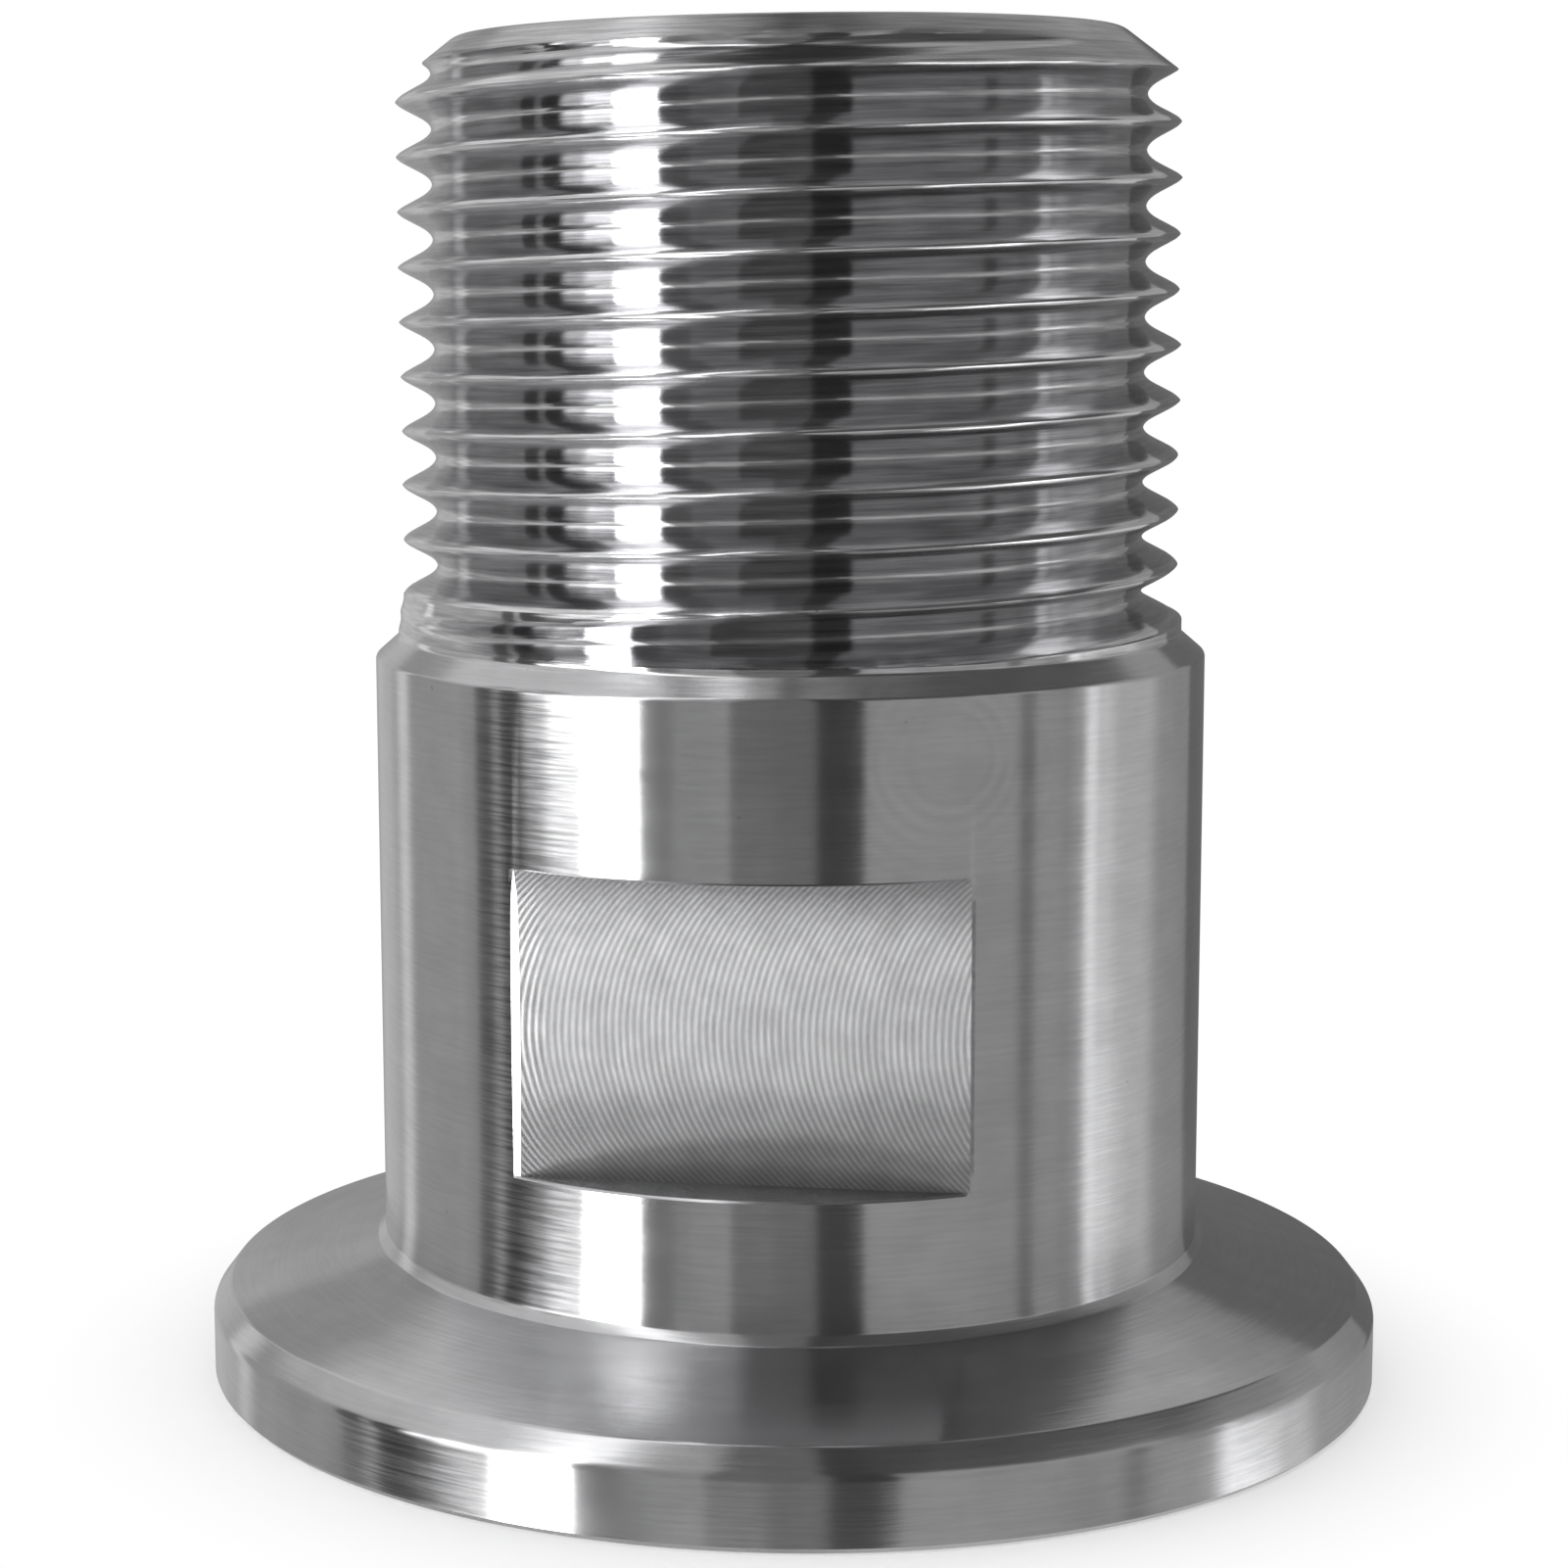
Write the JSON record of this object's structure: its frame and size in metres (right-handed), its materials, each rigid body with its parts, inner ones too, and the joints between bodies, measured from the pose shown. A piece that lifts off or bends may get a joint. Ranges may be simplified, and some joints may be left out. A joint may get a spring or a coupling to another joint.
{
  "type": "vacuum flange threaded adapter",
  "caption": "Turned steel adapter: a round clamp flange with a centring recess at one end, a body with wrench flats and a male pipe thread at the other, bored right through.",
  "frame": {"origin": "centre of the flat sealing face at the flange end, which is also the bottom centre of the bounding box", "axes": "+Z runs along the bore from the flange to the thread, and the wrench flats face -Y and +Y"},
  "size_m": [0.04, 0.04, 0.0453],
  "materials": {
    "stainless_steel": "fine turned, with milled wrench flats"
  },
  "bodies": {
    "root": {"adapter": "stainless_steel"}
  },
  "joints": []
}
